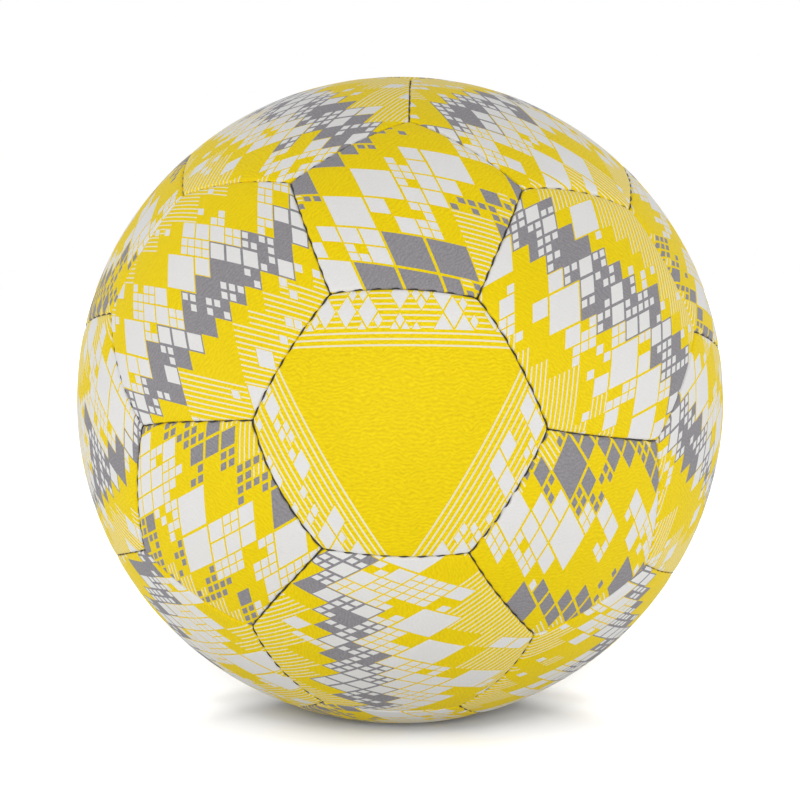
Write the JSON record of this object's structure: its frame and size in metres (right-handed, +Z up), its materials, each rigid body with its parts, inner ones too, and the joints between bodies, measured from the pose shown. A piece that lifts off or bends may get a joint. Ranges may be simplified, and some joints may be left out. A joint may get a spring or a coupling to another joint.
{
  "type": "korfball",
  "caption": "Round hand-stitched korfball: hexagonal and pentagonal synthetic leather panels sewn together over an air bladder, with a needle valve set flush in one panel.",
  "frame": {"origin": "centre of the ball", "axes": "+Z up as the ball lies in the picture, -Y out of the front hexagon towards the picture's camera, +Y out of the valve in the opposite hexagon"},
  "size_m": [0.2204, 0.2203, 0.2204],
  "materials": {
    "cover_leather": "satin grained synthetic leather, yellow with white and grey print",
    "waxed_thread": "waxed polyester, dark grey",
    "bladder_rubber": "matte black rubber",
    "valve_rubber": "smooth black rubber",
    "valve_core_rubber": "soft dark rubber",
    "patch_rubber": "matte rubberised cloth"
  },
  "bodies": {
    "root": {"cover_hexagon_01": "cover_leather", "cover_hexagon_02": "cover_leather", "cover_hexagon_03": "cover_leather", "cover_hexagon_04": "cover_leather", "cover_hexagon_05": "cover_leather", "cover_hexagon_06": "cover_leather", "cover_hexagon_07": "cover_leather", "cover_hexagon_08": "cover_leather", "cover_hexagon_09": "cover_leather", "cover_hexagon_10": "cover_leather", "cover_hexagon_11": "cover_leather", "cover_hexagon_12": "cover_leather", "cover_hexagon_13": "cover_leather", "cover_hexagon_14": "cover_leather", "cover_hexagon_15": "cover_leather", "cover_hexagon_16": "cover_leather", "cover_hexagon_17": "cover_leather", "cover_hexagon_18": "cover_leather", "cover_hexagon_19": "cover_leather", "cover_hexagon_20": "cover_leather", "cover_pentagon_01": "cover_leather", "cover_pentagon_02": "cover_leather", "cover_pentagon_03": "cover_leather", "cover_pentagon_04": "cover_leather", "cover_pentagon_05": "cover_leather", "cover_pentagon_06": "cover_leather", "cover_pentagon_07": "cover_leather", "cover_pentagon_08": "cover_leather", "cover_pentagon_09": "cover_leather", "cover_pentagon_10": "cover_leather", "cover_pentagon_11": "cover_leather", "cover_pentagon_12": "cover_leather", "seam_thread_01": "waxed_thread", "seam_thread_02": "waxed_thread", "seam_thread_03": "waxed_thread", "seam_thread_04": "waxed_thread", "seam_thread_05": "waxed_thread", "seam_thread_06": "waxed_thread", "seam_thread_07": "waxed_thread", "seam_thread_08": "waxed_thread", "seam_thread_09": "waxed_thread", "seam_thread_10": "waxed_thread", "seam_thread_11": "waxed_thread", "seam_thread_12": "waxed_thread", "bladder": "bladder_rubber", "valve_body": "valve_rubber", "valve_core": "valve_core_rubber", "valve_patch": "patch_rubber"}
  },
  "joints": []
}
